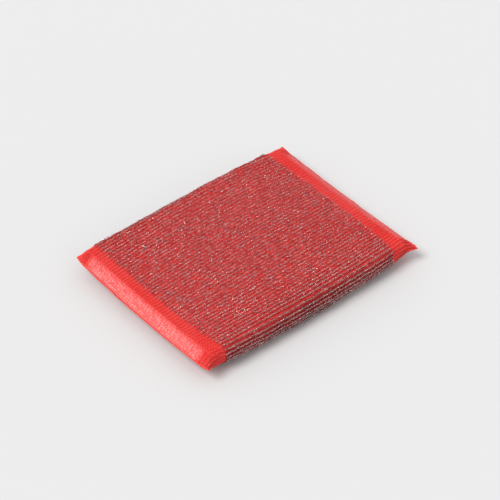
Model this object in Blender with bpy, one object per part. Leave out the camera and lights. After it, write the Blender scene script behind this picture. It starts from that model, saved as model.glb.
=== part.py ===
"""Scouring pad: a soft foam core inside one knitted tube whose two ends are pressed flat and fused.

The pad lies flat, its knitted rows (wales) running along X. Z is up and the pad rests on z = 0.
All sizes are in metres. Every outer size is worked outwards from the foam core.
"""

import math

import bmesh
import bpy
from mathutils import Matrix, Vector

# The foam core, squeezed thinner at its two ends by the sleeve
CORE_LENGTH = 0.1094
CORE_WIDTH = 0.0861
CORE_THICKNESS = 0.0108
CORE_END_THICKNESS = 0.0066
CORE_CORNER = 0.0021  # radius of the four long edges
FLAT_LENGTH = 0.0300  # middle stretch that keeps the full thickness
SHOULDER_POWER = 2.0  # how late the thickness drops on the way to the core's end
WAIST_PULL = 0.0004  # how far each long side is drawn in at the core's end

# The knitted sleeve
CORE_CLEARANCE = 0.0003
SLEEVE_WALL = 0.0008
WALES = 108  # knitted ribs round the tube
RIB_DEPTH = 0.0003
CREST_SHARE = 0.44  # flat part of a rib, as a share of the pitch
NET_SPAN = 0.0045  # see-through stretch from the core's end to the seam
SEAM_LENGTH = 0.0008
SEAM_SLIT = 0.0006  # space left between the two layers where the seam starts
FUSED_THICKNESS = 0.0012
EAR_FLARE = 0.0012  # how far each flattened corner stands out past the long side

# The gaps of the net that join the hollow to the outside
GAP_WIDTH = 0.0008
GROOVES_PER_GAP = 2
GAP_MARGIN = 0.0004  # material left between a gap and the seam, and between it and the core's end
EAR_LENGTH = 0.0055  # closed corner at each end of a row of gaps

# How finely the shapes are divided
SHOULDER_STEPS = 2
STEP_POWER = 0.75  # below 1, the steps grow shorter towards the core's end
PLAIN_COLUMNS = 48  # divisions round the core and round the hollow

# Sizes that follow from the ones above
SLEEVE_OFFSET = CORE_CLEARANCE + SLEEVE_WALL
PAD_THICKNESS = CORE_THICKNESS + 2 * SLEEVE_OFFSET
CORE_END = CORE_LENGTH / 2
FLAT_END = FLAT_LENGTH / 2
SEAM_START = CORE_END + NET_SPAN
PAD_END = SEAM_START + SEAM_LENGTH

KNIT_RED = (0.52, 0.055, 0.065, 1.0)
FOAM_RED = (0.62, 0.035, 0.040, 1.0)


def remove_old_objects():
    for old in list(bpy.data.objects):
        bpy.data.objects.remove(old, do_unlink=True)


def new_collection(name):
    collection = bpy.data.collections.new(name)
    bpy.context.scene.collection.children.link(collection)
    return collection


def make_material(name, colour, roughness, metallic):
    material = bpy.data.materials.new(name)
    material.use_nodes = True
    shader = material.node_tree.nodes["Principled BSDF"]
    shader.inputs["Base Color"].default_value = colour
    shader.inputs["Roughness"].default_value = roughness
    shader.inputs["Metallic"].default_value = metallic
    return material


def shoulder_share(x):
    """0 over the flat middle, rising to 1 at the core's end."""
    return max(0.0, (abs(x) - FLAT_END) / (CORE_END - FLAT_END))


def blend(start, end, share):
    return start + (end - start) * share


def core_section(x):
    """Half width, half thickness and corner radius of the foam core at x."""
    share = shoulder_share(x)
    drop = (CORE_THICKNESS - CORE_END_THICKNESS) / 2 * share**SHOULDER_POWER
    pull = WAIST_PULL * (1 - math.cos(math.pi * share)) / 2
    return CORE_WIDTH / 2 - pull, CORE_THICKNESS / 2 - drop, CORE_CORNER


def offset_section(section, distance):
    return tuple(size + distance for size in section)


def hollow_section(x):
    """The space inside the sleeve: the core and its clearance, then a wedge down to the seam's slit."""
    half_width, half_thickness, corner = offset_section(
        core_section(min(abs(x), CORE_END)), CORE_CLEARANCE
    )
    if abs(x) > CORE_END:
        share = (abs(x) - CORE_END) / NET_SPAN
        half_thickness = blend(half_thickness, SEAM_SLIT / 2, share)
    return half_width, half_thickness, min(corner, half_thickness)


def sleeve_section(x):
    """The sleeve's rib crests: the hollow and its wall, flaring into an ear at each fused corner."""
    half_width, half_thickness, corner = offset_section(
        hollow_section(min(abs(x), SEAM_START)), SLEEVE_WALL
    )
    if abs(x) > CORE_END:
        share = (abs(x) - CORE_END) / (PAD_END - CORE_END)
        half_width += (EAR_FLARE + WAIST_PULL) * share
    if abs(x) > SEAM_START:
        share = (abs(x) - SEAM_START) / SEAM_LENGTH
        half_thickness = blend(half_thickness, FUSED_THICKNESS / 2, share)
    return half_width, half_thickness, min(corner, half_thickness)


def section_point(fraction, half_width, half_thickness, corner):
    """Place and outward normal (Y, Z) on an oblong section with round corners.

    The fraction runs once round the section, from the middle of the underside towards +Y.
    Each quarter of the section mirrors the first one, from the underside's middle to the side's.
    """
    quarter, share = divmod(fraction % 1 * 4, 1)
    if quarter % 2:
        share = 1 - share
    flat = half_width - corner
    upright = half_thickness - corner
    arc = math.pi / 2 * corner
    run = share * (flat + arc + upright)
    if run <= flat:
        place = Vector((run, -half_thickness))
        normal = Vector((0, -1))
    elif run < flat + arc:
        angle = (run - flat) / corner
        normal = Vector((math.sin(angle), -math.cos(angle)))
        place = Vector((flat, -upright)) + normal * corner
    else:
        place = Vector((half_width, run - flat - arc - upright))
        normal = Vector((1, 0))
    mirror = Vector((1 if quarter < 2 else -1, 1 if quarter in (0, 3) else -1))
    return place * mirror, normal * mirror


def lengthwise_stations(*past_the_core):
    """X places from one end to the other, with none in the straight middle."""
    shares = [(number / SHOULDER_STEPS) ** STEP_POWER for number in range(SHOULDER_STEPS + 1)]
    half = [blend(FLAT_END, CORE_END, share) for share in shares]
    half += past_the_core
    return [-x for x in reversed(half)] + half


def plain_ring():
    return [(number / PLAIN_COLUMNS, 0.0) for number in range(PLAIN_COLUMNS)]


def ribbed_ring():
    """Three columns a rib: the two edges of its flat crest, then the bottom of the groove after it."""
    ring = []
    for wale in range(WALES):
        ring.append(((wale - CREST_SHARE / 2) / WALES, 0.0))
        ring.append(((wale + CREST_SHARE / 2) / WALES, 0.0))
        ring.append(((wale + 0.5) / WALES, RIB_DEPTH))
    return ring


def flattened_tube(name, section, stations, ring):
    """A closed tube along X, whose section at each station is squeezed to the given half sizes."""
    shape = bmesh.new()
    bmesh.ops.create_cone(
        shape, cap_ends=False, segments=len(ring), radius1=1, radius2=1, depth=1
    )
    lengthwise = [edge for edge in shape.edges if abs(edge.verts[0].co.z - edge.verts[1].co.z) > 0.5]
    bmesh.ops.subdivide_edges(shape, edges=lengthwise, cuts=len(stations) - 2)
    for vert in shape.verts:
        x = stations[round((vert.co.z + 0.5) * (len(stations) - 1))]
        column = round(math.atan2(vert.co.y, vert.co.x) / (2 * math.pi) * len(ring)) % len(ring)
        fraction, depth = ring[column]
        place, normal = section_point(fraction, *section(x))
        place -= normal * depth
        vert.co = (x, place.x, place.y + PAD_THICKNESS / 2)
    for end in (stations[0], stations[-1]):
        rim = [edge for edge in shape.edges if edge.is_boundary and edge.verts[0].co.x == edge.verts[1].co.x]
        rim = [edge for edge in rim if math.isclose(edge.verts[0].co.x, end, abs_tol=1e-6)]
        bmesh.ops.contextual_create(shape, geom=rim)
    bmesh.ops.recalc_face_normals(shape, faces=shape.faces)
    mesh = bpy.data.meshes.new(name)
    shape.to_mesh(mesh)
    shape.free()
    return bpy.data.objects.new(name, mesh)


def net_gap_cutters():
    """One upright block for each gap between two wales, in a row along each fused end."""
    shape = bmesh.new()
    middle = (CORE_END + SEAM_START) / 2
    length = NET_SPAN - 2 * GAP_MARGIN
    section = sleeve_section(middle)
    row_end = section[0] - EAR_LENGTH
    for wale in range(0, WALES, GROOVES_PER_GAP):
        place, normal = section_point((wale + 0.5) / WALES, *section)
        if normal.y > -1 or abs(place.x) > row_end:
            continue
        for end in (-1, 1):
            size = Matrix.Diagonal((length, GAP_WIDTH, PAD_THICKNESS, 1))
            spot = Matrix.Translation((end * middle, place.x, PAD_THICKNESS / 2))
            bmesh.ops.create_cube(shape, size=1, matrix=spot @ size)
    mesh = bpy.data.meshes.new("net_gap_cutters")
    shape.to_mesh(mesh)
    shape.free()
    return bpy.data.objects.new("net_gap_cutters", mesh)


def cut(target, cutter, collection):
    collection.objects.link(cutter)
    cutter.hide_render = True
    cutter.display_type = "WIRE"
    modifier = target.modifiers.new("cut_" + cutter.name, "BOOLEAN")
    modifier.operation = "DIFFERENCE"
    modifier.solver = "EXACT"
    modifier.object = cutter


def make_foam_core(parts):
    core = flattened_tube("foam_core", core_section, lengthwise_stations(), plain_ring())
    core.data.materials.append(make_material("foam", FOAM_RED, 0.9, 0.0))
    parts.objects.link(core)


def make_knit_sleeve(parts, cutters):
    sleeve = flattened_tube(
        "knit_sleeve", sleeve_section, lengthwise_stations(SEAM_START, PAD_END), ribbed_ring()
    )
    sleeve.data.materials.append(make_material("metallised_knit", KNIT_RED, 0.5, 0.2))
    parts.objects.link(sleeve)
    hollow = flattened_tube(
        "sleeve_hollow", hollow_section, lengthwise_stations(SEAM_START), plain_ring()
    )
    cut(sleeve, hollow, cutters)
    cut(sleeve, net_gap_cutters(), cutters)


def main():
    remove_old_objects()
    parts = new_collection("scouring_pad")
    cutters = new_collection("cutters")
    make_foam_core(parts)
    make_knit_sleeve(parts, cutters)


main()
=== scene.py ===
# %% [markdown]
# # A metallised scouring pad
# The pad is one knitted tube of red yarn pulled over a slab of red foam. A thin metal thread is knitted in
# beside the yarn, except near the two ends, where the tube is plain, pressed flat and fused shut.
# The lesson builds it as it is made: the shape of the stuffed tube first, then the foam, then every stitch.

import math

import bpy
import numpy as np
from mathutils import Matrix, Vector, noise


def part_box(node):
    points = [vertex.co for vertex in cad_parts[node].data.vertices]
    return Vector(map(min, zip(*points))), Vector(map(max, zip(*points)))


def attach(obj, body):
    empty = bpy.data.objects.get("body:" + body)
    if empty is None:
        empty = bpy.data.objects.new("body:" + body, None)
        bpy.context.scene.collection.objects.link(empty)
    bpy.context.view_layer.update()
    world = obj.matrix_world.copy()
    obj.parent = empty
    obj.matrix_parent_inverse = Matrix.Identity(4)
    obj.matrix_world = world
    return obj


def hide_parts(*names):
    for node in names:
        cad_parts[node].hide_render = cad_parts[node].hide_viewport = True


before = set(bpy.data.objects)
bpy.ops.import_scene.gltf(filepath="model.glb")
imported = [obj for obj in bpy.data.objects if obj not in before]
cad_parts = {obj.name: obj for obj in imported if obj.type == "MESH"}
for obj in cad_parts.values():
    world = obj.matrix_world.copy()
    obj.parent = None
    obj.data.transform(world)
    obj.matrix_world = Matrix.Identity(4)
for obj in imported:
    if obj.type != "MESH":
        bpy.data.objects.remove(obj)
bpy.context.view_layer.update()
BODY = "root"

# %% [markdown]
# ## Sizes
# The CAD model says how big the pad is. The counts below are for the looks alone: how many stitches the
# sleeve has, and between which of its courses the metal thread runs. Lengths are in metres.

# %% Sizes of the stuffed tube and of its knit
MM = 0.001
CORE_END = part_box("foam_core")[1].x
PAD_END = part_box("knit_sleeve")[1].x
MID_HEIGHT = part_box("knit_sleeve")[1].z / 2
WALES = 108  # knitted ribs round the tube
NET_COURSES = 6  # stitches along a rib, from the foam's end to the fused edge
BODY_COURSES = 126  # stitches along a rib over the foam
COURSES = BODY_COURSES + 2 * NET_COURSES
METAL_START, METAL_END = 11, 125  # first and last course with metal thread in it
print("stitches:", WALES * COURSES)

# %% [markdown]
# ## Short calls for node trees
# A node tree can be drawn by hand in the editor, but a script makes it the same each time. These helpers
# place a node with its settings and values, so that a tree reads as a list of steps.


# %% Helpers that place and join nodes
def put(tree, kind, values=None, **settings):
    """A new node with its settings, whose inputs get plain values or the sockets of other nodes."""
    node = tree.nodes.new(kind)
    for name, value in settings.items():
        setattr(node, name, value)
    for key, value in (values or {}).items():
        if isinstance(value, bpy.types.NodeSocket):
            tree.links.new(value, node.inputs[key])
        else:
            node.inputs[key].default_value = value
    return node


def maths(tree, operation, *values):
    """The result of a Math node."""
    return put(tree, "ShaderNodeMath", dict(enumerate(values)), operation=operation).outputs[0]


def vectors(tree, operation, first, second):
    """The result of a Vector Math node. With SCALE, the second value is one number."""
    spot = "Scale" if operation == "SCALE" else 1
    return put(tree, "ShaderNodeVectorMath", {0: first, spot: second}, operation=operation).outputs[0]


def new_tree(name, kind, inputs, outputs):
    """An empty node group with named inputs and outputs. Inputs are (name, kind of socket, value)."""
    tree = bpy.data.node_groups.new(name, kind)
    for label, socket, value in inputs:
        made = tree.interface.new_socket(label, in_out="INPUT", socket_type="NodeSocket" + socket)
        if value is not None:
            made.default_value = value
    for label, socket in outputs:
        tree.interface.new_socket(label, in_out="OUTPUT", socket_type="NodeSocket" + socket)
    return tree, tree.nodes.new("NodeGroupInput").outputs, tree.nodes.new("NodeGroupOutput").inputs


print("helpers ready")

# %% [markdown]
# ## The stuffed tube
# The knit and the foam share one shape: a tube that is thick in the middle, thinner where the foam ends, and
# flat at its two fused edges. It could be sculpted, but a grid of points is better here, because its rows and
# columns can then be the courses and the wales of the knit. The grid runs once round the tube and from end
# to end.


# %% Cross-section of the tube over the foam
HALF_WIDTH = 43.9 * MM
HALF_THICKNESS = 6.05 * MM
END_DROP = 2.0 * MM  # how much lower each face is at the foam's end
CROWN_POWER = 2.3  # the larger, the further out the faces stay level
WAIST_PULL = 0.3 * MM  # how much nearer each side is at the foam's end
CORNER_RADIUS = 3.0 * MM
SIDE_BULGE = 0.45 * MM
NEAR_SIDE_BULGE = 0.7 * MM  # the side with -Y stands out more at its middle
BULGE_POWER = 1.5  # the larger, the closer the bulge keeps to mid-height


def quarter_run(fraction):
    """Share of the way from a wide face's middle to a side's middle, and the quarter's two signs."""
    quarter, share = divmod(fraction % 1 * 4, 1)
    if quarter % 2:
        share = 1 - share
    return share, (1 if quarter < 2 else -1), (-1 if quarter in (0, 3) else 1)


def body_point(x, fraction):
    """Place (Y, Z) on the tube over the foam, and how far it is from the middle of the wide face."""
    toward_end = abs(x) / CORE_END
    half_width = HALF_WIDTH - WAIST_PULL * toward_end**2
    half_thickness = HALF_THICKNESS - END_DROP * toward_end**CROWN_POWER
    flat, upright = half_width - CORNER_RADIUS, half_thickness - CORNER_RADIUS
    arc = math.pi / 2 * CORNER_RADIUS
    share, side, face = quarter_run(fraction)
    run = share * (flat + arc + upright)
    if run <= flat:
        place = (run, half_thickness)
    elif run < flat + arc:
        angle = (run - flat) / CORNER_RADIUS
        place = (flat + math.sin(angle) * CORNER_RADIUS, upright + math.cos(angle) * CORNER_RADIUS)
    else:
        place = (half_width, flat + arc + upright - run)
    bulge = SIDE_BULGE + (NEAR_SIDE_BULGE * (1 - toward_end**2) if side < 0 else 0)
    bulge *= max(0, (run - flat) / (arc + upright)) ** BULGE_POWER
    return side * (place[0] + bulge), face * place[1], run


print("section at the foam's end:", [round(v / MM, 2) for v in body_point(CORE_END, 0.12)])

# %% [markdown]
# ### The curl
# A knit that is stretched over foam lifts a little at its ends, most at the corners. Bending the finished
# mesh would bend the stitches too. A height added to each grid point is simpler, and keeps the stitches.

# %% The slight upward curl of the two ends
END_CURL = {-1: 0.9 * MM, 1: 0.3 * MM}
CORNER_CURL = {-1: 1.0 * MM, 1: 0.6 * MM}


def curl(x, y):
    """How far the pad's ends and corners stand up from a flat pad, left and right."""
    end = -1 if x < 0 else 1
    return (x / PAD_END) ** 2 * (END_CURL[end] + CORNER_CURL[end] * (y / HALF_WIDTH) ** 2)


print("curl of the left corner, mm:", round(curl(-PAD_END, HALF_WIDTH) / MM, 2))

# %% [markdown]
# ### The fused edge
# Heat and pressure close each end, with the two layers lying on each other. The wales next to a corner are
# gathered, so the corner is solid and stands out as a small ear. The edge is a line of its own here, and the
# net is drawn between it and the foam's end, just as the real net is.

# %% The fused edge, where top and bottom lie on each other
EAR_START = 39.0 * MM  # past this the wales are gathered into a solid corner
EAR_TIP = {1: 45.1 * MM, -1: 46.0 * MM}  # the corners on the side with -Y stand out more
EAR_PULL = {-1: 1.1 * MM, 1: -0.6 * MM}  # how far the corners are drawn in along X, left and right
PULL_POWER = 6  # the larger, the closer this keeps to the corners
SEAM_DROP = {-1: 0.9 * MM, 1: 0.0}  # how far the seam lies below mid-height, left and right
CORNER_RISE = 0.5  # share of that drop that is gone at the corners
FUSED_GAP = {-1: 0.28 * MM, 1: 0.5 * MM}  # from the middle of the seam to each layer, left and right
WAVER_LENGTH, WAVER, WAVER_SEED = 9.0 * MM, 0.35 * MM, 3.1  # neither seam is quite straight
YARN_ALLOWANCE = 0.3 * MM  # the yarn and the melted edge stand out past the line of the seam
SIDE_RUN = body_point(CORE_END, 0.25)[2]


def fused_point(fraction, end):
    """Place (X, Y, Z) on the fused edge of the right (end 1) or left (end -1) side."""
    share, side, face = quarter_run(fraction)
    run = share * SIDE_RUN
    across = run
    if run > EAR_START:
        gathered = (run - EAR_START) / (SIDE_RUN - EAR_START)
        across = EAR_START + (EAR_TIP[side] - EAR_START) * gathered
    waver = noise.noise((end * WAVER_SEED, side * across / WAVER_LENGTH, 0)) * WAVER
    drawn = EAR_PULL[end] * (across / EAR_TIP[side]) ** PULL_POWER
    drop = SEAM_DROP[end] * (1 - CORNER_RISE * (across / EAR_TIP[side]) ** 2)
    return end * (PAD_END - YARN_ALLOWANCE - drawn) + waver, side * across, face * FUSED_GAP[end] - drop


print("ear tip:", [round(v / MM, 2) for v in fused_point(0.25, 1)])

# %% [markdown]
# ### Courses out of line
# A tube is pulled over the foam by hand, so its courses don't stay straight. It shows where the metal thread
# starts and stops. Sliding the grid's points along X moves the stitches with them, as on the real pad.

# %% How far the courses are pulled out of line
METAL_EDGE = 50.0 * MM  # about where the metal thread stops
LEFT_SHIFT, LEFT_SLANT = 0.2 * MM, 2.5 * MM  # the slant is the near corner's own extra shift
RIGHT_SHIFT, RIGHT_BULGE = 0.9 * MM, 2.3 * MM  # the bulge is how far its corners stay behind its middle


def course_shift(x, y):
    """The metallised stretch doesn't end straight: it bulges at the right, and slants at the left."""
    across = y / HALF_WIDTH
    if x < 0:
        wanted = LEFT_SHIFT + LEFT_SLANT * min(across, 0) ** 2
    else:
        wanted = RIGHT_SHIFT - RIGHT_BULGE * across**4
    past = abs(x)
    share = past / METAL_EDGE if past < METAL_EDGE else (CORE_END - past) / (CORE_END - METAL_EDGE)
    return wanted * share


print("shift at the near left corner, mm:", round(course_shift(-METAL_EDGE, -HALF_WIDTH) / MM, 2))

# %% [markdown]
# ### The grid
# The pieces above come together in one rule, which gives the place of any point by its course and its wale. A
# rule is used instead of a sculpted mesh, because every later step can ask it for the same place.

# %% One grid point of the tube
NET_POWER = 0.92  # how the net comes down from the foam's end to the seam: 1 would be straight
EAR_POWERS = {-1: (0.1, -0.15), 1: (-0.5, 1.0)}  # added in the corners: the near ones are pinched thinner


def tube_point(course, fraction):
    """Place of the knit's middle, at a course number from 0 to COURSES and a fraction round the tube."""
    end = -1 if course < COURSES / 2 else 1
    past = NET_COURSES - min(course, COURSES - course)
    if past <= 0:
        x = (course - COURSES / 2) / BODY_COURSES * 2 * CORE_END
        x += course_shift(x, body_point(x, fraction)[0])
        y, z, run = body_point(x, fraction)
        return x, y, z + MID_HEIGHT + curl(x, y)
    share = past / NET_COURSES
    y, z, run = body_point(CORE_END, fraction)
    tip_x, tip_y, tip_z = fused_point(fraction, end)
    corner = max(0.0, min(1.0, (run - EAR_START) / (SIDE_RUN - EAR_START)))
    width_power, height_power = EAR_POWERS[-1 if y < 0 else 1]
    x = end * CORE_END + (tip_x - end * CORE_END) * share
    y += (tip_y - y) * share ** (1 + width_power * corner)
    z += (tip_z - z) * share ** (NET_POWER + height_power * corner)
    return x, y, z + MID_HEIGHT + curl(x, y)


tube = np.array([[tube_point(c, w / WALES) for w in range(WALES)] for c in range(COURSES + 1)])
print("tube grid:", tube.shape)

# %% [markdown]
# ## Letting the stuffed tube settle
# The grid so far is as smooth as a drawing. The real sleeve is a cloth, a little longer than the foam it
# holds, so it puffs between its held ends and takes on shallow folds. Carving them by hand would look carved.
# A cloth simulation finds them: the tube is blown up gently, held fast at its two fused edges and less
# elsewhere. It runs on every third course and second wale, because broad folds need no more.


# %% A closed tube as a mesh
def tube_mesh(name, grid, capped):
    """Mesh of a grid that closes round its second axis, with or without a face over each end."""
    rows, columns = grid.shape[:2]
    faces = []
    for row in range(rows - 1):
        for column in range(columns):
            after = (column + 1) % columns
            start, above = row * columns, (row + 1) * columns
            faces.append((start + column, above + column, above + after, start + after))
    if capped:
        faces.append(tuple(range(columns)))
        faces.append(tuple(range((rows - 1) * columns, rows * columns))[::-1])
    mesh = bpy.data.meshes.new(name)
    mesh.from_pydata(grid.reshape(-1, 3).tolist(), [], faces)
    return mesh


print("tube mesh helper ready")

# %% [markdown]
# ### Cloth
# The sleeve is made larger by a fiftieth and blown up for twenty frames. The solver is meant for cloth as
# large as a cushion, so the pad is made twenty times larger for it. Part of the movement is kept, since foam
# is firmer than air.

# %% Cloth simulation
CLOTH_SCALE = 20.0  # the solver is tuned for cloth the size of a cushion
CLOTH_FRAMES = 20
COURSE_STEP, WALE_STEP = 3, 2
HELD = (1.0, 0.8, 0.6)  # how fast the edge, the row next to it and all other rows are held
FOLD_SHARE = 0.6  # the foam resists the rest
SMOOTH_TURNS = 3


def hold(sheet, rows, columns):
    """Pins the first and last rows fast. The rest is held less, as by the foam that it clings to."""
    held = sheet.vertex_groups.new(name="held")
    for row in range(rows):
        past = min(row, rows - 1 - row, len(HELD) - 1)
        held.add(list(range(row * columns, (row + 1) * columns)), HELD[past], "REPLACE")
    return held.name


def settle(grid):
    """How far each point of a coarse grid moves when its tube is blown up as cloth."""
    rows, columns = grid.shape[:2]
    sheet = bpy.data.objects.new("sheet", tube_mesh("sheet", grid * CLOTH_SCALE, False))
    bpy.context.scene.collection.objects.link(sheet)
    cloth = sheet.modifiers.new("cloth", "CLOTH")
    cloth.settings.vertex_group_mass = hold(sheet, rows, columns)
    cloth.settings.quality = 6
    cloth.settings.tension_stiffness = cloth.settings.compression_stiffness = 25
    cloth.settings.bending_stiffness = 1.5
    cloth.settings.shrink_min = -0.02  # a little longer than the foam
    cloth.settings.use_pressure = True
    cloth.settings.uniform_pressure_force = 0.5
    cloth.settings.effector_weights.gravity = 0
    cloth.point_cache.frame_end = CLOTH_FRAMES
    for frame_number in range(1, CLOTH_FRAMES + 1):
        bpy.context.scene.frame_set(frame_number)
    done = sheet.evaluated_get(bpy.context.evaluated_depsgraph_get()).to_mesh()
    places = np.empty(len(done.vertices) * 3)
    done.vertices.foreach_get("co", places)
    bpy.data.objects.remove(sheet)
    bpy.context.scene.frame_set(1)
    return places.reshape(grid.shape) / CLOTH_SCALE - grid


def refine(moved):
    """The coarse grid's movement, smoothly spread over the whole grid."""
    closed = np.concatenate([moved, moved[:, :1]], axis=1)
    fine = np.zeros(tube.shape)
    rows = np.arange(COURSES + 1) / COURSE_STEP
    columns = np.arange(WALES) / WALE_STEP
    for axis in range(3):
        coarse = closed[:, :, axis]
        between = np.array([np.interp(columns, np.arange(closed.shape[1]), row) for row in coarse])
        fine[:, :, axis] = np.array([np.interp(rows, np.arange(len(moved)), line) for line in between.T]).T
    for turn in range(SMOOTH_TURNS):
        fine = (np.roll(fine, 1, axis=1) + 2 * fine + np.roll(fine, -1, axis=1)) / 4
        fine[1:-1] = (fine[:-2] + 2 * fine[1:-1] + fine[2:]) / 4
    return fine


folds = refine(settle(tube[::COURSE_STEP, ::WALE_STEP])) * FOLD_SHARE
tube += folds
print("cloth moved, mm:", round(np.linalg.norm(folds, axis=2).max() / MM, 2))

# %% [markdown]
# ## Small unevenness
# A real pad's long edges waver by half a millimetre, and shallow dimples cross its wide faces. Moving the
# grid a little along its own normals, by a smooth noise, gives both. Then the pad is laid down: soft foam
# flattens where it touches the table, so nothing is let below the height at which the yarn touches it.


# %% Normals of the grid, the dimples and the table
REST_HEIGHT = 0.75 * MM  # from the table to the middle of the knit
BROAD_HEIGHT, BROAD_SIZES = 0.34 * MM, (9 * MM, 30 * MM, 12 * MM)  # crosswise waves, sizes along X, Y and Z
FINE_HEIGHT, FINE_SIZES = 0.24 * MM, (3.5 * MM, 6 * MM, 5 * MM)  # dimples
FINE_START = 40  # where in the noise the dimples are taken from
WAVE_FADE = 3 * MM  # to each side of the foam's end


def grid_normals(grid):
    """Outward normals of a grid that closes round its second axis."""
    along = np.gradient(grid, axis=0)
    around = np.roll(grid, -1, axis=1) - np.roll(grid, 1, axis=1)
    normal = np.cross(around, along)
    return normal / np.maximum(np.linalg.norm(normal, axis=2, keepdims=True), 1e-12)


def smooth_noise(point, sizes, start):
    x, y, z = (value / size for value, size in zip(point, sizes))
    return noise.noise((x + start, y, z))


def wave_height(point):
    """How far the surface stands out or in at a point, with crosswise waves and finer dimples."""
    broad = BROAD_HEIGHT * smooth_noise(point, BROAD_SIZES, 0)
    fine = FINE_HEIGHT * smooth_noise(point, FINE_SIZES, FINE_START)
    on_body = max(0.0, min(1.0, (CORE_END + WAVE_FADE - abs(point[0])) / (2 * WAVE_FADE)))
    return (broad + fine) * on_body


waves = np.array([[wave_height(point) for point in row] for row in tube])
tube += grid_normals(tube) * waves[:, :, None]
tube[:, :, 2] = np.maximum(tube[:, :, 2], REST_HEIGHT)
print("waves, mm:", round(waves.min() / MM, 2), round(waves.max() / MM, 2))

# %% [markdown]
# ## The carrier
# The grid becomes a mesh with a UV map: U runs round the tube and V from end to end. The yarn is later laid
# out in that flat map and wrapped back on the tube. The mesh is open along one line, where U jumps from 1
# to 0, and its outward direction is kept as an attribute, so that both sides of the line agree.


# %% Mesh of the carrier
def closed_columns(grid):
    """The grid with its first column once more at the end."""
    return np.concatenate([grid, grid[:, :1]], axis=1)


def carrier_mesh(grid):
    """The grid as a mesh with its flat map and its outward directions."""
    rows, columns = len(grid), WALES + 1
    places = closed_columns(grid).reshape(-1, 3)
    outward = closed_columns(grid_normals(grid)).reshape(-1, 3)
    faces = []
    for row in range(rows - 1):
        for column in range(columns - 1):
            corner = row * columns + column
            faces.append((corner, corner + columns, corner + columns + 1, corner + 1))
    mesh = bpy.data.meshes.new("carrier")
    mesh.from_pydata(places.tolist(), [], faces)
    flat = [(index % columns / WALES, index // columns / (rows - 1)) for index in range(len(places))]
    uv_map = mesh.uv_layers.new(name="tube_map")
    for loop in mesh.loops:
        uv_map.uv[loop.index].vector = flat[loop.vertex_index]
    attribute = mesh.attributes.new("outward", "FLOAT_VECTOR", "POINT")
    attribute.data.foreach_set("vector", outward.ravel())
    return mesh


carrier = carrier_mesh(tube)
print("carrier:", len(carrier.vertices), "points")

# %% [markdown]
# ## Wrapping a flat place on the tube
# Both the yarn and the metal thread are laid out in the flat map first. This small node group turns a place
# in the map, and a height above it, into a place on the tube, with Sample UV Surface. What would go through
# the table is pressed flat on it.


# %% Node group: place on the tube
TABLE_CLEARANCE = 0.22 * MM  # from the table to the middle of the lowest strand
LOWEST_PLACE = (-1.0, -1.0, TABLE_CLEARANCE)  # X and Y are free


def named(tree, name, kind):
    """What a named attribute of the mesh holds."""
    return put(tree, "GeometryNodeInputNamedAttribute", {"Name": name}, data_type=kind).outputs["Attribute"]


def make_wrap_group():
    sizes = [(name, "Float", 0.0) for name in ("Around", "Along", "Height")]
    tree, given, result = new_tree(
        "place on the tube", "GeometryNodeTree", [("Tube", "Geometry", None), *sizes], [("Place", "Vector")]
    )
    flat = put(tree, "ShaderNodeCombineXYZ", {0: maths(tree, "FRACT", given["Around"]), 1: given["Along"]})
    uv_map = named(tree, "tube_map", "FLOAT_VECTOR")
    found = []
    for value in (put(tree, "GeometryNodeInputPosition").outputs[0], named(tree, "outward", "FLOAT_VECTOR")):
        values = {"Mesh": given["Tube"], "Value": value, "UV Map": uv_map, "Sample UV": flat.outputs[0]}
        sample = put(tree, "GeometryNodeSampleUVSurface", values, data_type="FLOAT_VECTOR")
        found.append(sample.outputs["Value"])
    place = vectors(tree, "ADD", found[0], vectors(tree, "SCALE", found[1], given["Height"]))
    tree.links.new(vectors(tree, "MAXIMUM", place, LOWEST_PLACE), result["Place"])
    return tree


WRAP = make_wrap_group()
print("group:", WRAP.name)

# %% [markdown]
# ## The path of a stitch
# In a plain knit each course is one wavy yarn: it swings round the tube as the sine of twice an angle while
# it reaches forward and back as the cosine of the angle, and it dips where it hooks into its neighbours.
# The group below is that rule. Gather pulls the two legs of a stitch together, so that the wales stand up
# as ribs.


# %% Node group: path of the yarn in the flat map
SIDE_RIB, SIDE_GATHER = 1.3, 0.3  # down the two sides the ribs stand out more and are narrower
SIDE_START, SIDE_FULL = 0.885, 0.965  # where that begins and is complete: sine of the angle round the tube
FAR_SIDE = 0.94  # it begins a little later down the side with +Y
DRIFT_SCALE = 0.9  # how quickly the unevenness changes from stitch to stitch
DRIFT_HEIGHT = 0.3 * MM
MAP_MARGIN = 0.0005  # the yarn stays this far inside both ends of the flat map


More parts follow.
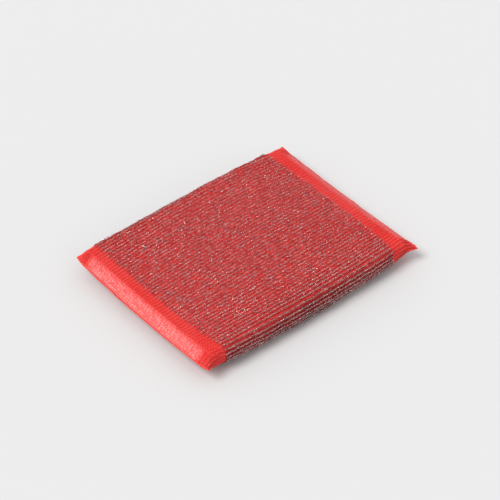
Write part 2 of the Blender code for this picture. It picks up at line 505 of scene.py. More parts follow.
def make_path_group():
    sizes = {"Turn": 0.0, "Course": 0.0, "Swing": 0.24, "Reach": 0.62, "Dip": 0.18 * MM}
    sizes |= {"Gather": 0.45, "Rib": 0.12 * MM, "Uneven": 1.0, "Seed": 0.0}
    tree, given, result = new_tree(
        "path of a stitch",
        "GeometryNodeTree",
        [(name, "Float", value) for name, value in sizes.items()],
        [(name, "Float") for name in ("Around", "Along", "Height", "Crest", "Side")],
    )
    spot = put(tree, "ShaderNodeCombineXYZ", {0: given["Turn"], 1: given["Course"], 2: given["Seed"]})
    drift = put(tree, "ShaderNodeTexNoise", {"Vector": spot.outputs[0], "Scale": DRIFT_SCALE, "Detail": 1.0})
    drift = vectors(tree, "SUBTRACT", drift.outputs["Color"], (0.5, 0.5, 0.5))
    drift = put(tree, "ShaderNodeSeparateXYZ", {0: vectors(tree, "SCALE", drift, given["Uneven"])}).outputs

    angle = maths(tree, "MULTIPLY", given["Turn"], math.tau)
    double = maths(tree, "MULTIPLY", angle, 2.0)
    swung = maths(tree, "MULTIPLY_ADD", maths(tree, "SINE", double), given["Swing"], given["Turn"])
    across = maths(tree, "SINE", maths(tree, "MULTIPLY", swung, math.tau / WALES))
    near, far = (maths(tree, "MULTIPLY", across, share) for share in (-1.0, FAR_SIDE))
    sideways = maths(tree, "MAXIMUM", near, far)
    side = put(tree, "ShaderNodeMapRange", {0: sideways, 1: SIDE_START, 2: SIDE_FULL}).outputs[0]
    gather = maths(tree, "MULTIPLY", given["Gather"], maths(tree, "MULTIPLY_ADD", side, SIDE_GATHER, 1.0))
    pull = maths(tree, "DIVIDE", gather, math.tau)
    pull = maths(tree, "MULTIPLY", maths(tree, "SINE", maths(tree, "MULTIPLY", swung, math.tau)), pull)
    gathered = maths(tree, "SUBTRACT", swung, pull)
    around = maths(tree, "DIVIDE", maths(tree, "ADD", gathered, drift[0]), float(WALES))

    reached = maths(tree, "MULTIPLY_ADD", maths(tree, "COSINE", angle), given["Reach"], given["Course"])
    along = maths(tree, "DIVIDE", maths(tree, "ADD", reached, drift[1]), float(COURSES))
    along = maths(tree, "MINIMUM", maths(tree, "MAXIMUM", along, MAP_MARGIN), 1.0 - MAP_MARGIN)

    dip = maths(tree, "MULTIPLY", maths(tree, "COSINE", double), given["Dip"])
    on_rib = maths(tree, "COSINE", maths(tree, "MULTIPLY", gathered, math.tau))
    rib = maths(tree, "MULTIPLY", on_rib, given["Rib"])
    rib = maths(tree, "MULTIPLY", rib, maths(tree, "MULTIPLY_ADD", side, SIDE_RIB, 1.0))
    lift = maths(tree, "MULTIPLY", drift[2], DRIFT_HEIGHT)
    height = maths(tree, "ADD", maths(tree, "SUBTRACT", rib, dip), lift)
    crest = maths(tree, "MULTIPLY_ADD", maths(tree, "COSINE", double), -0.5, 0.5)
    found = {"Around": around, "Along": along, "Height": height, "Crest": crest, "Side": side}
    for name, socket in found.items():
        tree.links.new(socket, result[name])
    return tree


PATH = make_path_group()
print("group:", PATH.name, "with", len(PATH.nodes), "nodes")

# %% [markdown]
# ## From points to strands
# The yarn, the metal thread and the stray ends are all strands on the tube. A line of points is repeated, its
# points are moved to their places, and the lines get a three-sided profile. Each of these steps is one call
# here, so that the trees below hold only what is their own.


# %% Steps that the trees share
STRAND_SIDES = 3
KINDS = {int: "Int", float: "Float", tuple: "Vector"}


def piece_tree(name, sizes):
    """A tree that makes a piece on the carrier. Its inputs are its sizes, a seed and a material."""
    inputs = [(label, KINDS[type(value)], value) for label, value in sizes.items()]
    inputs = [("Geometry", "Geometry", None), *inputs, ("Seed", "Int", 0), ("Material", "Material", None)]
    return new_tree(name, "GeometryNodeTree", inputs, [("Geometry", "Geometry")])


def repeated(tree, shape, count, points):
    """Copies of a shape as one mesh, and for each of its points the copy's number and the place in it."""
    spots = put(tree, "GeometryNodeMeshLine", {"Count": count, "Offset": (0, 0, 0)}).outputs[0]
    copies = put(tree, "GeometryNodeInstanceOnPoints", {"Points": spots, "Instance": shape}).outputs[0]
    copies = put(tree, "GeometryNodeRealizeInstances", {0: copies}).outputs[0]
    index = put(tree, "GeometryNodeInputIndex").outputs[0]
    number = maths(tree, "FLOOR", maths(tree, "DIVIDE", maths(tree, "ADD", index, 0.5), float(points)))
    return copies, number, maths(tree, "SUBTRACT", index, maths(tree, "MULTIPLY", number, float(points)))


def lay_on_tube(tree, mesh, tube, around, along, height):
    """The mesh with each point moved from its place in the flat map to its place on the tube."""
    flat = {"Tube": tube, "Around": around, "Along": along, "Height": height}
    place = put(tree, "GeometryNodeGroup", flat, node_tree=WRAP).outputs["Place"]
    return put(tree, "GeometryNodeSetPosition", {"Geometry": mesh, "Position": place}).outputs[0]


def strand_mesh(tree, lines, radius, scale):
    """Lines of points as thin tubes, with a UV map that runs along each one and round it."""
    line = put(tree, "GeometryNodeMeshToCurve", {0: lines}).outputs[0]
    ring = put(tree, "GeometryNodeCurvePrimitiveCircle", {"Resolution": STRAND_SIDES, "Radius": radius})
    kept = []
    for curve in (line, ring.outputs["Curve"]):
        keep = put(tree, "GeometryNodeCaptureAttribute", {"Geometry": curve})
        keep.capture_items.new("FLOAT", "share")
        tree.links.new(put(tree, "GeometryNodeSplineParameter").outputs["Length"], keep.inputs[1])
        kept.append(keep.outputs)
    swept = {"Curve": kept[0][0], "Profile Curve": kept[1][0], "Fill Caps": True, "Scale": scale}
    swept = put(tree, "GeometryNodeCurveToMesh", swept).outputs[0]
    flat = put(tree, "ShaderNodeCombineXYZ", {0: kept[0][1], 1: kept[1][1]}).outputs[0]
    mapped = {"Geometry": swept, "Name": "strand_map", "Value": flat}
    mapped = put(tree, "GeometryNodeStoreNamedAttribute", mapped, data_type="FLOAT2", domain="CORNER")
    return put(tree, "GeometryNodeSetShadeSmooth", {"Geometry": mapped.outputs[0]}).outputs[0]


def finish_tree(tree, mesh, material, result):
    real = put(tree, "GeometryNodeRealizeInstances", {0: mesh}).outputs[0]
    painted = put(tree, "GeometryNodeSetMaterial", {"Geometry": real, "Material": material})
    tree.links.new(painted.outputs[0], result["Geometry"])


print("shared steps ready")

# %% [markdown]
# ### How thick the yarn is
# Yarn isn't equally thick all along. It is fuller on the two legs of a stitch and pinched where it is hooked
# in, and the gathered corners hold more of it. Each curve point can have a scale of its own, so both are
# worked out from the point's place.


# %% Thickness of the yarn
PLAIN_CREST = 0.4  # where the yarn has its plain thickness: crest is 0 where it is hooked in, 1 on a leg


def distance_ramp(tree, place, axis, low, high):
    """0 below one distance from the pad's middle and 1 past another, along X (0) or Y (1)."""
    part = put(tree, "ShaderNodeSeparateXYZ", {0: place}).outputs[axis]
    return put(tree, "ShaderNodeMapRange", {0: maths(tree, "ABSOLUTE", part), 1: low, 2: high}).outputs[0]


def ear_fullness(tree, extra):
    """Size of the yarn along a course: 1, and more where the wales are gathered into a corner."""
    place = put(tree, "GeometryNodeInputPosition").outputs[0]
    past_foam = distance_ramp(tree, place, 0, CORE_END, CORE_END + MM)
    in_ear = distance_ramp(tree, place, 1, EAR_START - MM, EAR_START + 2 * MM)
    return maths(tree, "MULTIPLY_ADD", maths(tree, "MULTIPLY", past_foam, in_ear), extra, 1.0)


def crest_swell(tree, swell):
    """Size of the yarn along a stitch: fuller on its two legs and thinner where it is hooked in."""
    up = maths(tree, "SUBTRACT", named(tree, "crest", "FLOAT"), PLAIN_CREST)
    return maths(tree, "MULTIPLY_ADD", up, swell, 1.0)


print("ear starts at, mm:", round(EAR_START / MM, 1))

# %% [markdown]
# ## The yarn tree
# A ring of points stands for one course, with six points for each stitch. It is repeated once for each
# course, and each ring becomes a closed curve on the tube. Hundreds of loops could be modelled as one stitch
# and instanced, but then each joint between two stitches would show. One curve for each course has no joints.


# %% Geometry Nodes: the yarn
LOOP_POINTS = 6


def make_yarn_tree():
    sizes = {"First Course": 0, "Course Count": 10, "Yarn Radius": 0.2 * MM, "Ear Fullness": 0.0}
    sizes |= {"Crest Swell": 0.2, "Reach": 0.62, "Rib": 0.12 * MM, "Gather": 0.45, "Uneven": 0.12}
    tree, given, result = piece_tree("knitted yarn", sizes)
    per_row = WALES * LOOP_POINTS
    ring = put(tree, "GeometryNodeMeshCircle", {"Vertices": per_row}, fill_type="NONE").outputs[0]
    rings, row, spot = repeated(tree, ring, given["Course Count"], per_row)
    shape = {name: given[name] for name in ("Reach", "Rib", "Gather", "Uneven", "Seed")}
    shape["Turn"] = maths(tree, "DIVIDE", spot, float(LOOP_POINTS))
    shape["Course"] = maths(tree, "ADD", maths(tree, "ADD", row, given["First Course"]), 0.5)
    path = put(tree, "GeometryNodeGroup", shape, node_tree=PATH).outputs
    marked = {"Geometry": rings, "Name": "crest", "Value": path["Crest"]}
    marked = put(tree, "GeometryNodeStoreNamedAttribute", marked, data_type="FLOAT", domain="POINT")
    places = (path[name] for name in ("Around", "Along", "Height"))
    moved = lay_on_tube(tree, marked.outputs[0], given["Geometry"], *places)
    fuller = ear_fullness(tree, given["Ear Fullness"])
    scale = maths(tree, "MULTIPLY", fuller, crest_swell(tree, given["Crest Swell"]))
    finish_tree(tree, strand_mesh(tree, moved, given["Yarn Radius"], scale), given["Material"], result)
    return tree


YARN_TREE = make_yarn_tree()
print("tree:", YARN_TREE.name, "with", len(YARN_TREE.nodes), "nodes")

# %% [markdown]
# ## The metal thread
# The thread runs with the yarn, and shows where it lies over the two legs of a stitch. The rest is hidden
# under the next course. So only those stretches are made, a short tapered strand for each leg, and some are
# left out at random where the yarn has rolled over the thread.


# %% Helpers for many short strands
def short_lines(tree, count, points):
    """Separate short lines of points, with each point's line number and its place in the line."""
    line = put(tree, "GeometryNodeMeshLine", {"Count": points, "Offset": (0, 0, 0)}).outputs[0]
    return repeated(tree, line, count, points)


def chooser(tree, number, seed):
    """A call that gives each numbered thing its own random value between two others."""

    def chance(low, high, offset):
        values = {2: low, 3: high, "ID": number, "Seed": maths(tree, "ADD", seed, float(offset))}
        return put(tree, "FunctionNodeRandomValue", values, data_type="FLOAT").outputs[1]

    return chance


def tapered(tree, share):
    """1 at a strand's middle, and less towards both of its tips."""
    factor = put(tree, "GeometryNodeSplineParameter").outputs["Factor"]
    from_middle = maths(tree, "ABSOLUTE", maths(tree, "MULTIPLY_ADD", factor, 2.0, -1.0))
    return maths(tree, "SUBTRACT", 1.0, maths(tree, "MULTIPLY", from_middle, share))


print("strand helpers ready")

# %% [markdown]
# ### One strand for each leg
# The thread of a real pad is one long flat ribbon. Its visible parts are all alike but for their length,
# place and height, so one rule with random values makes them, on the same path that the yarn follows.


# %% Geometry Nodes: the metal thread
LEG_POINTS = 3
LEGS_ROUND = 2 * WALES  # two legs for each stitch of a course
YARN_SEED = 1  # the thread strays from its even place as the yarn does
LENGTHS, SIDEWAYS = (0.5, 1.2), (-0.05, 0.05)  # least and most: shares of the span, and parts of a wale
FORWARD, HEIGHTS = (0.42, 0.58), (0.5, 1.4)  # parts of a course, and shares of the height above the yarn
LEG_TAPER = 0.6  # how much thinner the tips are than the middle
JUST_OVER = 0.01  # keeps a whole number of rounds from being taken for the one below it


def make_thread_tree():
    sizes = {"First Course": 0, "Course Count": 10, "Thread Radius": 0.14 * MM, "Leg Span": 0.17}
    sizes |= {"Above Yarn": 0.21 * MM, "Shown Share": 0.58, "Shown More at Sides": 0.42}
    sizes |= {"Rib": 0.23 * MM, "Gather": 0.7, "Uneven": 0.14}
    tree, given, result = piece_tree("metal thread", sizes)
    count = maths(tree, "MULTIPLY", given["Course Count"], float(LEGS_ROUND))
    legs, number, part = short_lines(tree, count, LEG_POINTS)
    chance = chooser(tree, number, given["Seed"])
    rounds = maths(tree, "DIVIDE", maths(tree, "ADD", number, JUST_OVER), float(LEGS_ROUND))
    row = maths(tree, "FLOOR", rounds)
    leg = maths(tree, "FLOOR", maths(tree, "MULTIPLY", maths(tree, "FRACT", rounds), float(LEGS_ROUND)))
    from_middle = maths(tree, "SUBTRACT", part, (LEG_POINTS - 1) / 2)
    span = maths(tree, "MULTIPLY", given["Leg Span"], chance(*LENGTHS, 1))
    stretch = maths(tree, "MULTIPLY", from_middle, span)
    turn = maths(tree, "MULTIPLY_ADD", leg, 0.5, 0.25)
    turn = maths(tree, "ADD", turn, maths(tree, "ADD", stretch, chance(*SIDEWAYS, 2)))
    course = maths(tree, "ADD", maths(tree, "ADD", row, given["First Course"]), chance(*FORWARD, 5))
    shape = {name: given[name] for name in ("Rib", "Gather", "Uneven")}
    shape |= {"Turn": turn, "Course": course, "Seed": float(YARN_SEED)}
    path = put(tree, "GeometryNodeGroup", shape, node_tree=PATH).outputs
    above = maths(tree, "MULTIPLY", given["Above Yarn"], chance(*HEIGHTS, 3))
    height = maths(tree, "ADD", path["Height"], above)
    moved = lay_on_tube(tree, legs, given["Geometry"], path["Around"], path["Along"], height)
    shown = maths(tree, "MULTIPLY_ADD", path["Side"], given["Shown More at Sides"], given["Shown Share"])
    hidden = {0: chance(0.0, 1.0, 4), 1: shown}
    hidden = put(tree, "FunctionNodeCompare", hidden, data_type="FLOAT", operation="GREATER_THAN").outputs[0]
    left = put(tree, "GeometryNodeDeleteGeometry", {"Geometry": moved, "Selection": hidden}).outputs[0]
    strand = strand_mesh(tree, left, given["Thread Radius"], tapered(tree, LEG_TAPER))
    finish_tree(tree, strand, given["Material"], result)
    return tree


THREAD_TREE = make_thread_tree()
print("tree:", THREAD_TREE.name, "with", len(THREAD_TREE.nodes), "nodes")

# %% [markdown]
# ## Stray ends of metal thread
# Metal thread breaks as the pad is handled, and its ends stand out of the knit as fine bright hairs. A hair
# system would have to be turned into a mesh later, so the hairs are short bent strands too, started at random
# spots of the flat map. A few longer ones lie on the surface where the thread has bunched.


# %% Geometry Nodes: stray ends
HAIR_POINTS = 5
ROUND = 195 * MM  # once round the tube
ROOT_HEIGHT = 0.28 * MM  # where a hair leaves the yarn, above the middle of the knit
HAIR_LENGTHS, HAIR_LIFTS = (0.4, 1.5), (0.1, 1.2)  # least and most, as shares of the given size
HAIR_TAPER = 0.5


def make_stray_tree():
    sizes = {"Count": 1400, "First Course": METAL_START, "Last Course": METAL_END}
    sizes |= {"Thread Radius": 0.05 * MM, "Length": 1.8 * MM, "Bend": 1.6, "Lift": 0.9 * MM}
    tree, given, result = piece_tree("stray metal thread", sizes)
    hairs, number, part = short_lines(tree, given["Count"], HAIR_POINTS)
    chance = chooser(tree, number, given["Seed"])
    step = maths(tree, "DIVIDE", part, float(HAIR_POINTS - 1))
    bend = maths(tree, "MULTIPLY", maths(tree, "MULTIPLY", given["Bend"], step), chance(-1.0, 1.0, 1))
    heading = maths(tree, "ADD", chance(0.0, math.tau, 2), bend)
    reach = maths(tree, "MULTIPLY", maths(tree, "MULTIPLY", given["Length"], step), chance(*HAIR_LENGTHS, 3))
    across = maths(tree, "MULTIPLY", maths(tree, "SINE", heading), reach)
    around = maths(tree, "ADD", chance(0.0, 1.0, 4), maths(tree, "DIVIDE", across, ROUND))
    forward = maths(tree, "MULTIPLY", maths(tree, "COSINE", heading), reach)
    course = chance(given["First Course"], given["Last Course"], 5)
    start = maths(tree, "DIVIDE", course, float(COURSES))
    along = maths(tree, "ADD", start, maths(tree, "DIVIDE", forward, 2 * PAD_END))
    lift = maths(tree, "MULTIPLY", maths(tree, "MULTIPLY", given["Lift"], step), chance(*HAIR_LIFTS, 6))
    height = maths(tree, "ADD", lift, ROOT_HEIGHT)
    moved = lay_on_tube(tree, hairs, given["Geometry"], around, along, height)
    strand = strand_mesh(tree, moved, given["Thread Radius"], tapered(tree, HAIR_TAPER))
    finish_tree(tree, strand, given["Material"], result)
    return tree


STRAY_TREE = make_stray_tree()
print("tree:", STRAY_TREE.name, "with", len(STRAY_TREE.nodes), "nodes")

# %% [markdown]
# ## The melted edges
# The ends are cut and sealed with heat, so the yarn melts into a thin lumpy line. One small lump for each
# half stitch, set along the edge of the tube, gives that line. A single bevelled curve would be too even.


# %% Geometry Nodes: melted lumps along the fused edge
LUMPS = 2 * WALES
LUMP_SHIFTS, LUMP_HEIGHTS, LUMP_SIZES = (-0.35, 0.35), (-0.3 * MM, 0.0), (0.65, 1.3)  # least and most


def make_edge_tree():
    sizes = {"Along": 0.0, "Lump Size": (0.22 * MM, 0.45 * MM, 0.26 * MM)}
    tree, given, result = piece_tree("melted edge", sizes)
    spots = put(tree, "GeometryNodeMeshLine", {"Count": LUMPS, "Offset": (0, 0, 0)}).outputs[0]
    index = put(tree, "GeometryNodeInputIndex").outputs[0]
    chance = chooser(tree, index, given["Seed"])
    around = maths(tree, "DIVIDE", maths(tree, "ADD", index, chance(*LUMP_SHIFTS, 1)), float(LUMPS))
    moved = lay_on_tube(tree, spots, given["Geometry"], around, given["Along"], chance(*LUMP_HEIGHTS, 2))
    lump = put(tree, "GeometryNodeMeshIcoSphere", {"Radius": 1.0, "Subdivisions": 2}).outputs[0]
    lump = put(tree, "GeometryNodeSetShadeSmooth", {"Geometry": lump}).outputs[0]
    size = vectors(tree, "SCALE", given["Lump Size"], chance(*LUMP_SIZES, 3))
    lumps = put(tree, "GeometryNodeInstanceOnPoints", {"Points": moved, "Instance": lump, "Scale": size})
    finish_tree(tree, lumps.outputs[0], given["Material"], result)
    return tree


EDGE_TREE = make_edge_tree()
print("tree:", EDGE_TREE.name, "with", len(EDGE_TREE.nodes), "nodes")

# %% [markdown]
# ## Finishes
# Yarn, foam and metal thread each get a material of their own. All of them share one group, which gives the
# blotches and the fine grain that a real fibre has, so that no surface is one flat colour.


# %% Shader group: uneven fibre
NOISE_HALF_SPAN = 0.2  # most of a noise texture lies this close to 0.5


def make_fibre_group():
    sizes = {"Blotch Scale": 120.0, "Grain Scale": 2500.0, "Blotch Share": 0.5, "Contrast": 1.0}
    tree, given, result = new_tree(
        "uneven fibre",
        "ShaderNodeTree",
        [(name, "Float", value) for name, value in sizes.items()],
        [("Shade", "Float"), ("Grain", "Float")],
    )
    place = put(tree, "ShaderNodeTexCoord").outputs["Object"]
    blotch = put(tree, "ShaderNodeTexNoise", {"Vector": place, "Scale": given["Blotch Scale"], "Detail": 3.0})
    grain = put(tree, "ShaderNodeTexNoise", {"Vector": place, "Scale": given["Grain Scale"], "Detail": 2.0})
    mixed = {0: given["Blotch Share"], 2: grain.outputs[0], 3: blotch.outputs[0]}
    mixed = put(tree, "ShaderNodeMix", mixed, data_type="FLOAT").outputs[0]
    half = maths(tree, "DIVIDE", NOISE_HALF_SPAN, given["Contrast"])
    ends = {1: maths(tree, "SUBTRACT", 0.5, half), 2: maths(tree, "ADD", 0.5, half)}
    shade = put(tree, "ShaderNodeMapRange", {0: mixed, **ends})
    tree.links.new(shade.outputs[0], result["Shade"])
    tree.links.new(grain.outputs[0], result["Grain"])
    return tree


FIBRE = make_fibre_group()
print("group:", FIBRE.name)

# %% [markdown]
# ### Colours that follow the knit
# A material starts as two colours mixed by the fibre group. Then other colours are blended in: painted shade
# deep in the knit and down a side, and painted light in the net. Each blend is one call, so a finish can be
# read as a list of what happens to the yarn.


# %% Helpers that colour a material
BUMP_DISTANCE = 0.1 * MM
STITCH_BLOTCHES = {"Blotch Scale": 1000.0, "Blotch Share": 0.8, "Contrast": 2.4}  # one shade for each stitch


def make_fibre_material(name, dark, light, roughness, metallic, bump, blotches=None):
    """A Principled material between two colours, mixed by the fibre group, with a fine bump."""
    material = bpy.data.materials.new(name)
    material.use_nodes = True
    tree = material.node_tree
    shader = tree.nodes["Principled BSDF"]
    shader.inputs["Roughness"].default_value = roughness
    shader.inputs["Metallic"].default_value = metallic
    group = put(tree, "ShaderNodeGroup", blotches, node_tree=FIBRE).outputs
    mixed = put(tree, "ShaderNodeMix", {0: group["Shade"], 6: (*dark, 1), 7: (*light, 1)}, data_type="RGBA")
    tree.links.new(mixed.outputs[2], shader.inputs["Base Color"])
    rough = {"Height": group["Grain"], "Strength": bump, "Distance": BUMP_DISTANCE}
    tree.links.new(put(tree, "ShaderNodeBump", rough).outputs[0], shader.inputs["Normal"])
    return material


def blend_colour(material, share, first, second=None):
    """Mixes the material's colour from a first one, at share 0, or to a second one, at share 1."""
    tree = material.node_tree
    base = tree.nodes["Principled BSDF"].inputs["Base Color"]
    colour = base.links[0].from_socket
    first, second = (colour if value is None else (*value, 1) for value in (first, second))
    mixed = put(tree, "ShaderNodeMix", {0: share, 6: first, 7: second}, data_type="RGBA")
    tree.links.new(mixed.outputs[2], base)


def shade_by_crest(material, hidden, crest_power):
    """Painted shade: darker where the yarn dives under its neighbours, so the net's painted pale stays on the
    legs.
    """
    crest = put(material.node_tree, "ShaderNodeAttribute", attribute_name="crest").outputs["Fac"]
    blend_colour(material, maths(material.node_tree, "POWER", crest, crest_power), hidden)


print("material helpers ready")

# %% [markdown]
# ### The metallised stretch
# The yarn is matt and painted dark red deep in the knit, as painted shade, and its colour changes at random
# from stitch to stitch. The metal is bare, but each bit of ribbon is twisted and catches the light in its own
# way; its colour changes from stitch to stitch too, partly as random tone and partly as painted reflection.
# Such a colour doesn't repeat, where a painted picture of a knit would.


# %% Red yarn and metal thread of the metallised stretch
# Painted shade: a dark red put deep in the knit and down the sides, where the yarn lies in shade.
PAINTED_SHADE_RED = (0.16, 0.002, 0.004)
SIDE_DEPTH, SIDE_SHADE_SHARE = 3.0 * MM, 0.4  # painted shade: the sides are darker from this far in, by this share

YARN = make_fibre_material(
    "red yarn", (0.62, 0.007, 0.010), (1.0, 0.12, 0.11), 0.35, 0.0, 0.4, STITCH_BLOTCHES
)
# Painted shade deep in the knit, where the yarn dives under its neighbours.
shade_by_crest(YARN, PAINTED_SHADE_RED, 0.3)
yarn_place = put(YARN.node_tree, "ShaderNodeTexCoord").outputs["Object"]
# Painted shade down the two sides, where the deeper ribs shade each other.
painted_side_shade = distance_ramp(YARN.node_tree, yarn_place, 1, HALF_WIDTH - SIDE_DEPTH, HALF_WIDTH)
blend_colour(YARN, maths(YARN.node_tree, "MULTIPLY", painted_side_shade, SIDE_SHADE_SHARE), None, PAINTED_SHADE_RED)
# The metal's colour changes at random from stitch to stitch: partly random tone, partly painted reflection of
# twisted ribbon catching the light.
RIBBON_BLOTCHES = {**STITCH_BLOTCHES, "Blotch Scale": 900.0}
METAL = make_fibre_material(
    "metal thread", (0.42, 0.40, 0.40), (0.94, 0.93, 0.91), 0.24, 1.0, 0.3, RIBBON_BLOTCHES
)
print("materials:", YARN.name, METAL.name)

# %% [markdown]
# ### The plain ends
# One yarn makes the whole plain end, but in the net it is painted paler, most on the legs of each stitch:
# partly stretched yarn turning whitish, partly painted highlight and painted light coming through the net.
# The shade follows the place on the pad, from its Object coordinates.


# %% Plain red yarn, painted paler in the net
PAINTED_NET_LIGHT, PAINTED_NET_LIGHT_RIGHT = (1.0, 0.09, 0.08), (1.0, 0.30, 0.28)  # painted light in the net; the right end, stretched further, is painted paler still


def net_share(tree):
    """1 over the net, and 0 over the foam, in the corners and on the melted edge."""
    place = put(tree, "ShaderNodeTexCoord").outputs["Object"]
    past_foam = distance_ramp(tree, place, 0, CORE_END - 0.6 * MM, CORE_END + 1.4 * MM)
    ear = distance_ramp(tree, place, 1, EAR_START - 2.5 * MM, EAR_START + 0.5 * MM)
    edge = distance_ramp(tree, place, 0, PAD_END - 0.6 * MM, PAD_END - 0.2 * MM)
    share = maths(tree, "MULTIPLY", past_foam, maths(tree, "SUBTRACT", 1.0, ear))
    return maths(tree, "MULTIPLY", share, maths(tree, "SUBTRACT", 1.0, edge))


def make_plain_yarn(name, pale):
    """Plain red yarn that lets some light through, and is painted paler in the net, most on the legs of its
    stitches.
    """
    material = make_fibre_material(name, (0.97, 0.05, 0.04), (1.0, 0.095, 0.08), 0.4, 0.0, 0.3)
    blend_colour(material, net_share(material.node_tree), None, pale)
    # In the net the legs keep the painted pale colour, as dots of painted highlight.
    shade_by_crest(material, (0.95, 0.05, 0.045), 2.0)
    shader = material.node_tree.nodes["Principled BSDF"]
    shader.inputs["Subsurface Weight"].default_value = 0.4
    shader.inputs["Subsurface Radius"].default_value = (1.0, 0.3, 0.3)
    shader.inputs["Subsurface Scale"].default_value = 0.4 * MM
    return material


PLAIN_YARN = make_plain_yarn("plain red yarn", PAINTED_NET_LIGHT)
RIGHT_NET_YARN = make_plain_yarn("right net red yarn", PAINTED_NET_LIGHT_RIGHT)
EDGE = make_fibre_material("melted red edge", (0.9, 0.03, 0.025), (1.0, 0.09, 0.07), 0.3, 0.0, 0.3)
print("materials:", PLAIN_YARN.name, RIGHT_NET_YARN.name, EDGE.name)

# %% [markdown]
# ### The foam
# Foam is soft, matt and full of pores. Over most of the pad the knit hides it, but it shows through the holes
# of the net, where it is thin. There it is painted pale in patches as small as a stitch, as painted light
# coming through it.


# %% Red foam, painted pale behind the net
# Painted light: the foam behind the net is painted pale, for the light that comes through it.
PAINTED_LIGHT_FOAM = (1.0, 0.60, 0.58)
LEAST_PALE = 0.3  # even its darkest patches are this pale in the net

FOAM = make_fibre_material(
    "red foam", (0.85, 0.04, 0.035), (0.98, 0.07, 0.06), 0.9, 0.0, 0.8, STITCH_BLOTCHES
)
foam_shade = next(node for node in FOAM.node_tree.nodes if node.type == "GROUP").outputs["Shade"]
patchy = maths(FOAM.node_tree, "MULTIPLY_ADD", foam_shade, 1 - LEAST_PALE, LEAST_PALE)
blend_colour(FOAM, maths(FOAM.node_tree, "MULTIPLY", net_share(FOAM.node_tree), patchy), None, PAINTED_LIGHT_FOAM)
print("material:", FOAM.name)

# %% [markdown]
# ## Knitting the sleeve
# The yarn tree runs on the carrier seven times, so that no piece grows too heavy: a net and a plain band at
# each end, and the metallised stretch between them in three parts. The net at the right is stretched
# further, so its yarn is thinner.


# %% Run a tree on the carrier and keep its result as a plain mesh
def make_piece(name, tree, material, **sizes):
    base = bpy.data.objects.new(name + "_base", carrier)
    bpy.context.scene.collection.objects.link(base)
    modifier = base.modifiers.new("tree", "NODES")
    modifier.node_group = tree
    given = {"Material": material, **sizes}
    for item in tree.interface.items_tree:
        if item.in_out == "INPUT" and item.name in given:
            modifier[item.identifier] = given[item.name]
    done = base.evaluated_get(bpy.context.evaluated_depsgraph_get())
    mesh = bpy.data.meshes.new_from_object(done)
    bpy.data.objects.remove(base)
    mesh.name = name
    piece = bpy.data.objects.new(name, mesh)
    bpy.context.scene.collection.objects.link(piece)
    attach(piece, BODY)
    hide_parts("knit_sleeve")
    print(name, "has", sum(len(face.vertices) - 2 for face in mesh.polygons), "triangles")


def knit(name, first, last, material, sizes):
    courses = {"First Course": first, "Course Count": last - first}
    make_piece(name, YARN_TREE, material, Seed=YARN_SEED, **courses, **sizes)


NET = {"Crest Swell": 0.8, "Rib": 0.02 * MM, "Uneven": 0.1, "Reach": 0.58}
LEFT_NET = {**NET, "Yarn Radius": 0.135 * MM, "Gather": 0.5, "Ear Fullness": 0.9}
RIGHT_NET = {**NET, "Yarn Radius": 0.09 * MM, "Gather": 0.7, "Ear Fullness": 1.8}
BAND = {"Yarn Radius": 0.195 * MM, "Rib": 0.05 * MM, "Gather": 0.4}
DENSE = {"Yarn Radius": 0.19 * MM, "Rib": 0.23 * MM, "Gather": 0.7, "Uneven": 0.14}
THIRD = (METAL_END - METAL_START) // 3
knit("knit_left_net", 0, NET_COURSES, PLAIN_YARN, LEFT_NET)
knit("knit_left_band", NET_COURSES, METAL_START, PLAIN_YARN, BAND)
knit("knit_body_left", METAL_START, METAL_START + THIRD, YARN, DENSE)
knit("knit_body_middle", METAL_START + THIRD, METAL_START + 2 * THIRD, YARN, DENSE)
knit("knit_body_right", METAL_START + 2 * THIRD, METAL_END, YARN, DENSE)
knit("knit_right_band", METAL_END, COURSES - NET_COURSES, PLAIN_YARN, BAND)
knit("knit_right_net", COURSES - NET_COURSES, COURSES, RIGHT_NET_YARN, RIGHT_NET)

# %% [markdown]
# ## Laying the metal thread
# The thread is far too fine to knit a second time round the whole tube. It is laid leg by leg, in two halves,
# and then come the stray ends and the melted edges.

# %% Metal thread, stray ends and melted edges
METAL_MIDDLE = (METAL_START + METAL_END) // 2
EDGE_MARGIN = 0.001  # the melted edges lie this far inside the ends of the flat map
BUNCHED = {"Count": 45, "Thread Radius": 0.08 * MM, "Length": 2.6 * MM, "Bend": 3.5, "Lift": 0.25 * MM}

for half, first, last in (("left", METAL_START, METAL_MIDDLE), ("right", METAL_MIDDLE, METAL_END)):
    courses = {"First Course": first, "Course Count": last - first}
    make_piece("metal_thread_" + half, THREAD_TREE, METAL, Seed=5 + first, **courses)
make_piece("stray_ends", STRAY_TREE, METAL, Seed=3)
make_piece("bunched_thread", STRAY_TREE, METAL, Seed=8, **BUNCHED)
make_piece("melted_edge_left", EDGE_TREE, EDGE, Along=EDGE_MARGIN, Seed=1)
make_piece("melted_edge_right", EDGE_TREE, EDGE, Along=1 - EDGE_MARGIN, Seed=2)

# %% [markdown]
# ## The foam core
# The foam takes the shape of the sleeve that squeezes it, so it is the same grid, moved inwards by half the
# knit's thickness. At its ends it is drawn out thin between the two layers, up to the fused edges, so that
# the corners are full and something pale shows through the net.


# %% Foam
FOAM_INSET, EDGE_INSET = 0.5 * MM, 0.18 * MM


def foam_grid():
    """The tube's grid moved inwards, and by less towards the edges, where the two layers nearly meet."""
    from_edge = COURSES / 2 - np.abs(np.arange(COURSES + 1) - COURSES / 2)
    inset = np.interp(from_edge, (0, NET_COURSES), (EDGE_INSET, FOAM_INSET))
    inner = tube - grid_normals(tube) * inset[:, None, None]
    inner[0], inner[-1] = (inner[0] + inner[1]) / 2, (inner[-1] + inner[-2]) / 2
    return inner


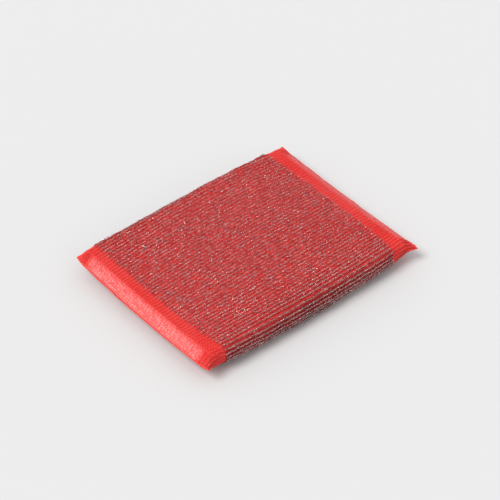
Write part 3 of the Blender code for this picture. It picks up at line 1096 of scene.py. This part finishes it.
foam_pad = bpy.data.objects.new("foam_pad", tube_mesh("foam_pad", foam_grid(), True))
foam_pad.data.materials.append(FOAM)
foam_pad.data.shade_smooth()
bpy.context.scene.collection.objects.link(foam_pad)
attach(foam_pad, BODY)
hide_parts("foam_core")
print("foam:", len(foam_pad.data.polygons), "faces")

# %% [markdown]
# ## Floor, light and camera
# The pad lies on a pale matt table, which goes on past the edge of the picture. One large flat face is
# enough, because the photo shows no horizon.

# %% Floor
FLOOR_GREY, FLOOR_ROUGHNESS, FLOOR_REACH = 0.625, 0.9, 3.0

floor_mesh = bpy.data.meshes.new("floor")
floor_corners = [(x * FLOOR_REACH, y * FLOOR_REACH, 0) for x, y in ((-1, -1), (1, -1), (1, 1), (-1, 1))]
floor_mesh.from_pydata(floor_corners, [], [(0, 1, 2, 3)])
floor = bpy.data.objects.new("floor", floor_mesh)
bpy.context.scene.collection.objects.link(floor)
floor_material = bpy.data.materials.new("pale table")
floor_material.use_nodes = True
floor_shader = floor_material.node_tree.nodes["Principled BSDF"]
floor_shader.inputs["Base Color"].default_value = (FLOOR_GREY, FLOOR_GREY, FLOOR_GREY, 1)
floor_shader.inputs["Roughness"].default_value = FLOOR_ROUGHNESS
floor_mesh.materials.append(floor_material)
print("floor:", 2 * FLOOR_REACH, "m wide")

# %% [markdown]
# ### Light
# The shadow of the near ear says where the lamp is: well to the left, and a little to the viewer's side of
# the pad. The shadows are soft and pale, so most of the light comes from all round.

# %% Light
SUN_STRENGTH, WORLD_STRENGTH = 2.13, 0.80
SUN_ANGLE = math.radians(30)  # a wide lamp gives soft shadows
TOWARD_SUN = Vector((-0.70, 0.14, 1.0))

sun_data = bpy.data.lights.new("soft lamp", "SUN")
sun_data.energy = SUN_STRENGTH
sun_data.angle = SUN_ANGLE
sun = bpy.data.objects.new("soft lamp", sun_data)
sun.rotation_mode = "QUATERNION"
sun.rotation_quaternion = TOWARD_SUN.to_track_quat("Z", "Y")
bpy.context.scene.collection.objects.link(sun)
world = bpy.data.worlds.new("studio")
world.use_nodes = True
world.node_tree.nodes["Background"].inputs["Strength"].default_value = WORLD_STRENGTH
world.node_tree.nodes["Background"].inputs["Color"].default_value = (1, 1, 1, 1)
bpy.context.scene.world = world
bpy.context.scene.view_settings.view_transform = "Standard"
print("lights: lamp", SUN_STRENGTH, "and surroundings", WORLD_STRENGTH)

# %% [markdown]
# ### Camera
# The angle comes from fitting a pillow of this shape to the outline in the photo. A long lens from a metre
# away draws the far end almost as large as the near one, as in the photo.

# %% Camera
LOOK_AT = Vector((8.28, 6.87, 0.0)) * MM
AZIMUTH, ELEVATION = math.radians(-40.169), math.radians(41.954)
DISTANCE = 0.9877
LENS = 159.84

back = Vector(
    (math.sin(AZIMUTH) * math.cos(ELEVATION), -math.cos(AZIMUTH) * math.cos(ELEVATION), math.sin(ELEVATION))
)
camera_data = bpy.data.cameras.new("camera")
camera_data.lens = LENS
camera = bpy.data.objects.new("camera", camera_data)
camera.location = LOOK_AT + back * DISTANCE
camera.rotation_mode = "QUATERNION"
camera.rotation_quaternion = (-back).to_track_quat("-Z", "Y")
bpy.context.scene.collection.objects.link(camera)
bpy.context.scene.camera = camera
print("camera at", [round(v, 4) for v in camera.location])
